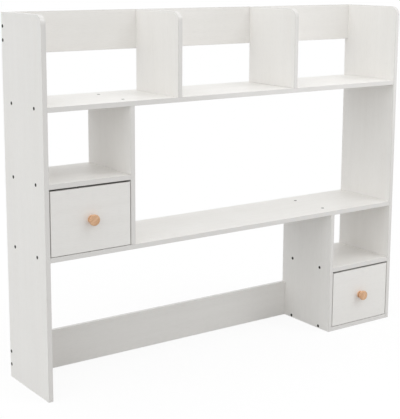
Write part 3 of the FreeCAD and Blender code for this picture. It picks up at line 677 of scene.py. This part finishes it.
def metal_finish(name, colour, metallic, specular, roughness):
    """Plated or blackened steel with uneven gloss and fine machining marks."""
    material, tree, shader, coordinates = new_finish(
        name, Metallic=metallic, Specular_IOR_Level=specular
    )
    vector = lay_grain(tree, coordinates["Object"], ALONG_Z)
    handling = use_group(tree, "handling", vector=vector, patch_size=METAL_HAZE_PATCH)
    tarnish = [part * TARNISH_SHADE for part in colour]
    feed(tree, shader["Base Color"], blend_colours(tree, handling["Haze"], rgba(colour), rgba(tarnish)))
    feed(tree, shader["Roughness"], remap(tree, handling["Haze"], WHOLE_RANGE, roughness))
    add_relief(tree, shader, add_noise(tree, vector, scale=MARKS_IN_METRE), MARK_DEPTH)
    arrange(tree)
    return material


def plastic_finish(scene, name, colour, worn_colour):
    """Moulded plastic with scuffs along the way the drawer slides."""
    material, tree, shader, coordinates = new_finish(name)
    scuffs = use_group(
        tree,
        "pressed_grain",
        vector=lay_grain(tree, coordinates["Object"], ALONG_Y),
        pore_width=scene.hutch_sizes.pore_width,
        pore_length=SCUFF_LENGTH,
        streak_width=SCUFF_WIDTH,
    )
    worn = blend_colours(tree, scuffs["Streaks"], rgba(colour), rgba(worn_colour))
    feed(tree, shader["Base Color"], worn)
    feed(tree, shader["Roughness"], remap(tree, scuffs["Streaks"], WHOLE_RANGE, PLASTIC_ROUGHNESS))
    add_relief(tree, shader, scuffs["Pores"], SCUFF_DEPTH)
    arrange(tree)
    return material


def paint(name, material):
    """Gives a CAD node a finish and returns the node."""
    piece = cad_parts[name]
    for slot in piece.material_slots:
        slot.material = material
    return piece


def soften(piece, edge):
    """Joins the facets of a CAD node into whole faces and softens the edges between them."""
    weld = piece.modifiers.new("Join Facets", "WELD")
    weld.merge_threshold = FACET_GAP
    planes = piece.modifiers.new("Whole Faces", "DECIMATE")
    planes.decimate_type = "DISSOLVE"
    planes.angle_limit = FLAT_WITHIN
    bevel = piece.modifiers.new("Soft Edges", "BEVEL")
    bevel.width = edge
    bevel.segments = BEVEL_STEPS
    bevel.limit_method = "ANGLE"
    bevel.angle_limit = SHARP_FROM
    bevel.use_clamp_overlap = False
    bevel.face_strength_mode = "FSTR_ALL"
    flatten = piece.modifiers.new("Flat Faces", "WEIGHTED_NORMAL")
    flatten.use_face_influence = True


def dress(names, material, edge):
    """Gives CAD nodes a finish and softens their edges."""
    for name in names:
        soften(paint(name, material), edge)


def both_sides(*endings):
    """Names of the pieces that the left drawer and the right drawer both have."""
    return [f"{side}_drawer_{ending}" for side in SIDES for ending in endings]


class HUTCH_OT_uprights(bpy.types.Operator):
    """Dress the upright boards, whose grain stands upright"""

    bl_idname = "hutch.uprights"
    bl_label = "Uprights"

    def execute(self, context):
        finish = board_finish(context.scene, "white_facing_upright", X_AXIS, ALONG_Z)
        dress(UPRIGHTS, finish, context.scene.hutch_sizes.board_edge)
        return {"FINISHED"}


class HUTCH_OT_shelves(bpy.types.Operator):
    """Dress the shelves, whose grain runs along the width"""

    bl_idname = "hutch.shelves"
    bl_label = "Shelves"

    def execute(self, context):
        finish = board_finish(context.scene, "white_facing_shelf", Z_AXIS, ALONG_X)
        dress(SHELVES, finish, context.scene.hutch_sizes.board_edge)
        return {"FINISHED"}


class HUTCH_OT_rails(bpy.types.Operator):
    """Dress the rails and the fronts and backs of the drawers, which stand across the width"""

    bl_idname = "hutch.rails"
    bl_label = "Rails, Drawer Fronts and Backs"

    def execute(self, context):
        finish = board_finish(context.scene, "white_facing_rail", Y_AXIS, ALONG_X)
        dress((*RAILS, *both_sides("front", "back")), finish, context.scene.hutch_sizes.board_edge)
        return {"FINISHED"}


class HUTCH_OT_drawer_sides(bpy.types.Operator):
    """Dress the sides of the drawer boxes, whose grain runs to the rear"""

    bl_idname = "hutch.drawer_sides"
    bl_label = "Drawer Sides"

    def execute(self, context):
        finish = board_finish(context.scene, "white_facing_drawer_side", X_AXIS, ALONG_Y)
        dress(both_sides("left_side", "right_side"), finish, context.scene.hutch_sizes.board_edge)
        return {"FINISHED"}


class HUTCH_OT_hardboard(bpy.types.Operator):
    """Dress the hardboard behind the drawer bays and in the drawers"""

    bl_idname = "hutch.hardboard"
    bl_label = "Hardboard"

    def execute(self, context):
        edge = context.scene.hutch_sizes.thin_edge
        dress(BAY_BACKS, hardboard_finish(context.scene, "hardboard_back", Y_AXIS, ALONG_Z), edge)
        bottom_finish = hardboard_finish(context.scene, "hardboard_bottom", Z_AXIS, ALONG_Y)
        dress(both_sides("bottom"), bottom_finish, edge)
        return {"FINISHED"}


class HUTCH_OT_knobs(bpy.types.Operator):
    """Give each turned knob its own piece of lacquered beech"""

    bl_idname = "hutch.knobs"
    bl_label = "Knobs"

    def execute(self, context):
        for side, lean in KNOB_GRAIN_LEAN.items():
            name = f"{side}_drawer_knob"
            low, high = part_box(name)
            turn = (0.0, lean, 0.0)
            middle = (low + high) / 2
            finish = beech_finish(context.scene, f"{side}_knob_beech", turn, middle, lacquer=0.25)
            paint(name, finish)
        return {"FINISHED"}


class HUTCH_OT_dowels(bpy.types.Operator):
    """Dress the dowels, which are bare beech"""

    bl_idname = "hutch.dowels"
    bl_label = "Dowels"

    def execute(self, context):
        finish = beech_finish(context.scene, "dowel_beech", ALONG_Y, ORIGIN, lacquer=0.0)
        dress(both_sides("dowels"), finish, context.scene.hutch_sizes.thin_edge)
        return {"FINISHED"}


class HUTCH_OT_fasteners(bpy.types.Operator):
    """Dress the connector screws, the small screws and the pins"""

    bl_idname = "hutch.fasteners"
    bl_label = "Screws and Pins"

    def execute(self, context):
        colours = context.scene.hutch_colours
        edge = context.scene.hutch_sizes.metal_edge
        black = metal_finish(
            "black_screw_steel",
            colours.screw,
            metallic=0.0,
            specular=0.06,
            roughness=BLACK_STEEL_ROUGHNESS,
        )
        dress(CONNECTOR_SCREWS, black, edge)
        bright = metal_finish(
            "bright_zinc",
            colours.pin,
            metallic=1.0,
            specular=0.5,
            roughness=ZINC_ROUGHNESS,
        )
        dress((*BACK_PINS, *both_sides("stop_screws", "screws", "knob_screw")), bright, edge)
        return {"FINISHED"}


class HUTCH_OT_plastics(bpy.types.Operator):
    """Dress the strips that the drawers run on and the blocks that stop them"""

    bl_idname = "hutch.plastics"
    bl_label = "Glides and Stops"

    def execute(self, context):
        scene = context.scene
        sizes, colours = scene.hutch_sizes, scene.hutch_colours
        milky = plastic_finish(scene, "milky_plastic", colours.glide, colours.glide_worn)
        dress(both_sides("glides"), milky, sizes.thin_edge)
        # Near-black stop blocks: black plastic, and also painted shade for the gap above each drawer
        black = plastic_finish(scene, "black_plastic", colours.stop, colours.stop_worn)
        dress(both_sides("stop"), black, sizes.block_edge)
        return {"FINISHED"}


def add_shader(tree, kind, **inputs):
    """Adds a plain shader with its inputs and returns its output."""
    node = add_node(tree, kind)
    for name, value in inputs.items():
        feed(tree, node.inputs[name], value)
    return node.outputs[0]


def mix_shaders(tree, share, first, second):
    """Mixes two shaders: all first at a share of zero, all second at one."""
    node = add_node(tree, "ShaderNodeMixShader")
    feed(tree, node.inputs[0], share)
    feed(tree, node.inputs[1], first)
    feed(tree, node.inputs[2], second)
    return node.outputs["Shader"]


def seen_directly(tree):
    """One for light that reaches the camera, a mirror or a glass, and zero for the rest."""
    path = add_node(tree, "ShaderNodeLightPath").outputs
    shiny = calculate(tree, "MAXIMUM", path["Is Glossy Ray"], path["Is Transmission Ray"])
    return calculate(tree, "MAXIMUM", path["Is Camera Ray"], shiny)


def light_room(scene):
    """Even light from all round, which looks white where it is seen."""
    world = bpy.data.worlds.new("studio_room")
    world.use_nodes = True
    scene.world = world
    tree = world.node_tree
    tree.nodes.clear()
    strength = scene.hutch_studio.room_light
    light = add_shader(tree, "ShaderNodeBackground", Color=rgba(WARM_LIGHT), Strength=strength)
    white = add_shader(tree, "ShaderNodeBackground", Color=rgba(SEEN_WHITE), Strength=1.0)
    output = add_node(tree, "ShaderNodeOutputWorld")
    feed(tree, output.inputs["Surface"], mix_shaders(tree, seen_directly(tree), light, white))
    arrange(tree)


def floor_finish(scene):
    """Matt floor that looks white and keeps a share of the shadow."""
    material = bpy.data.materials.new("studio_floor")
    material.use_nodes = True
    tree = material.node_tree
    tree.nodes.clear()
    matt = add_shader(tree, "ShaderNodeBsdfDiffuse", Color=rgba(scene.hutch_colours.floor))
    lit = add_shader(tree, "ShaderNodeBsdfDiffuse", Color=rgba(FLOOR_WHITE))
    glow = add_shader(tree, "ShaderNodeEmission", Strength=1.0)
    white = mix_shaders(tree, scene.hutch_studio.shadow_share, glow, lit)
    output = add_node(tree, "ShaderNodeOutputMaterial")
    feed(tree, output.inputs["Surface"], mix_shaders(tree, seen_directly(tree), matt, white))
    arrange(tree)
    return material


def lay_floor(scene):
    """A wide floor under the hutch."""
    mesh = bpy.data.meshes.new("studio_floor")
    shape = bmesh.new()
    half_width = scene.hutch_studio.floor_width / 2
    bmesh.ops.create_grid(shape, x_segments=1, y_segments=1, size=half_width)
    shape.to_mesh(mesh)
    shape.free()
    floor = bpy.data.objects.new("studio_floor", mesh)
    mesh.materials.append(floor_finish(scene))
    scene.collection.objects.link(floor)


def hang_soft_light(scene, name, strength, width, direction):
    """A soft light that shines from a direction and looks some degrees wide."""
    lamp = bpy.data.lights.new(name, "SUN")
    lamp.color = COOL_LIGHT
    lamp.energy = strength
    lamp.angle = width
    holder = bpy.data.objects.new(name, lamp)
    holder.rotation_euler = Vector(direction).to_track_quat("Z", "Y").to_euler()
    scene.collection.objects.link(holder)


def stand_soft_box(scene, name, power, width, place):
    """A round soft box that looks at the hutch."""
    lamp = bpy.data.lights.new(name, "AREA")
    lamp.energy = power
    lamp.shape = "DISK"
    lamp.size = width
    holder = bpy.data.objects.new(name, lamp)
    holder.location = place
    away = Vector(place) - Vector(SOFT_BOX_AIM)
    holder.rotation_euler = away.to_track_quat("Z", "Y").to_euler()
    scene.collection.objects.link(holder)


def set_lights(scene):
    """Wide light from the left and above, a firmer one from the right, and two soft boxes."""
    studio = scene.hutch_studio
    hang_soft_light(scene, "left_light", studio.left_light, studio.wide_light, LEFT_DIRECTION)
    hang_soft_light(scene, "top_light", studio.top_light, studio.wide_light, TOP_DIRECTION)
    hang_soft_light(scene, "front_light", studio.front_light, studio.firm_light, FRONT_DIRECTION)
    stand_soft_box(scene, "near_light", studio.near_light, NEAR_BOX_WIDTH, NEAR_BOX_PLACE)
    stand_soft_box(scene, "over_light", studio.over_light, OVER_BOX_WIDTH, OVER_BOX_PLACE)


def place_camera(scene):
    """Stands the camera to the left of the hutch, looking slightly down."""
    studio = scene.hutch_studio
    lens = bpy.data.cameras.new("studio_camera")
    lens.lens = studio.focal_length
    lens.sensor_width = CAMERA_FRAME_WIDTH
    lens.shift_y = -studio.shift
    camera = bpy.data.objects.new("studio_camera", lens)
    turn = Matrix.Rotation(-studio.camera_turn, 4, "Z")
    tilt = Matrix.Rotation(math.radians(90) - studio.camera_dip, 4, "X")
    roll = Matrix.Rotation(studio.camera_roll, 4, "Z")
    camera.matrix_world = Matrix.Translation(studio.camera_place) @ turn @ tilt @ roll
    scene.collection.objects.link(camera)
    scene.camera = camera


class HUTCH_OT_studio(bpy.types.Operator):
    """Lay the floor, set the light and place the camera"""

    bl_idname = "hutch.studio"
    bl_label = "Studio"

    def execute(self, context):
        scene = context.scene
        lay_floor(scene)
        light_room(scene)
        set_lights(scene)
        place_camera(scene)
        scene.view_settings.view_transform = "Standard"
        return {"FINISHED"}


OPERATORS = (
    HUTCH_OT_uprights,
    HUTCH_OT_shelves,
    HUTCH_OT_rails,
    HUTCH_OT_drawer_sides,
    HUTCH_OT_hardboard,
    HUTCH_OT_knobs,
    HUTCH_OT_dowels,
    HUTCH_OT_fasteners,
    HUTCH_OT_plastics,
    HUTCH_OT_studio,
)


class HUTCH_PT_sidebar(bpy.types.Panel):
    """Sizes, colours and steps of the hutch"""

    bl_idname = "HUTCH_PT_sidebar"
    bl_label = "Desk Hutch"
    bl_space_type = "VIEW_3D"
    bl_region_type = "UI"
    bl_category = "Hutch"

    def draw(self, context):
        scene = context.scene
        for group in (scene.hutch_sizes, scene.hutch_colours, scene.hutch_studio):
            box = self.layout.box()
            for name in group.__annotations__:
                box.prop(group, name)
        for operator in OPERATORS:
            self.layout.operator(operator.bl_idname)


GROUPS = {"hutch_sizes": HutchSizes, "hutch_colours": HutchColours, "hutch_studio": HutchStudio}
CLASSES = (*GROUPS.values(), *OPERATORS, HUTCH_PT_sidebar)


def register():
    """Registers the classes and gives the scene their settings."""
    for item in CLASSES:
        bpy.utils.register_class(item)
    for name, group in GROUPS.items():
        setattr(bpy.types.Scene, name, PointerProperty(type=group))


def unregister():
    """Takes the settings and the classes away again."""
    for name in GROUPS:
        delattr(bpy.types.Scene, name)
    for item in reversed(CLASSES):
        bpy.utils.unregister_class(item)


def main():
    """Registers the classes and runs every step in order."""
    register()
    bpy.ops.hutch.uprights()
    bpy.ops.hutch.shelves()
    bpy.ops.hutch.rails()
    bpy.ops.hutch.drawer_sides()
    bpy.ops.hutch.hardboard()
    bpy.ops.hutch.knobs()
    bpy.ops.hutch.dowels()
    bpy.ops.hutch.fasteners()
    bpy.ops.hutch.plastics()
    bpy.ops.hutch.studio()


if __name__ == "__main__":
    main()
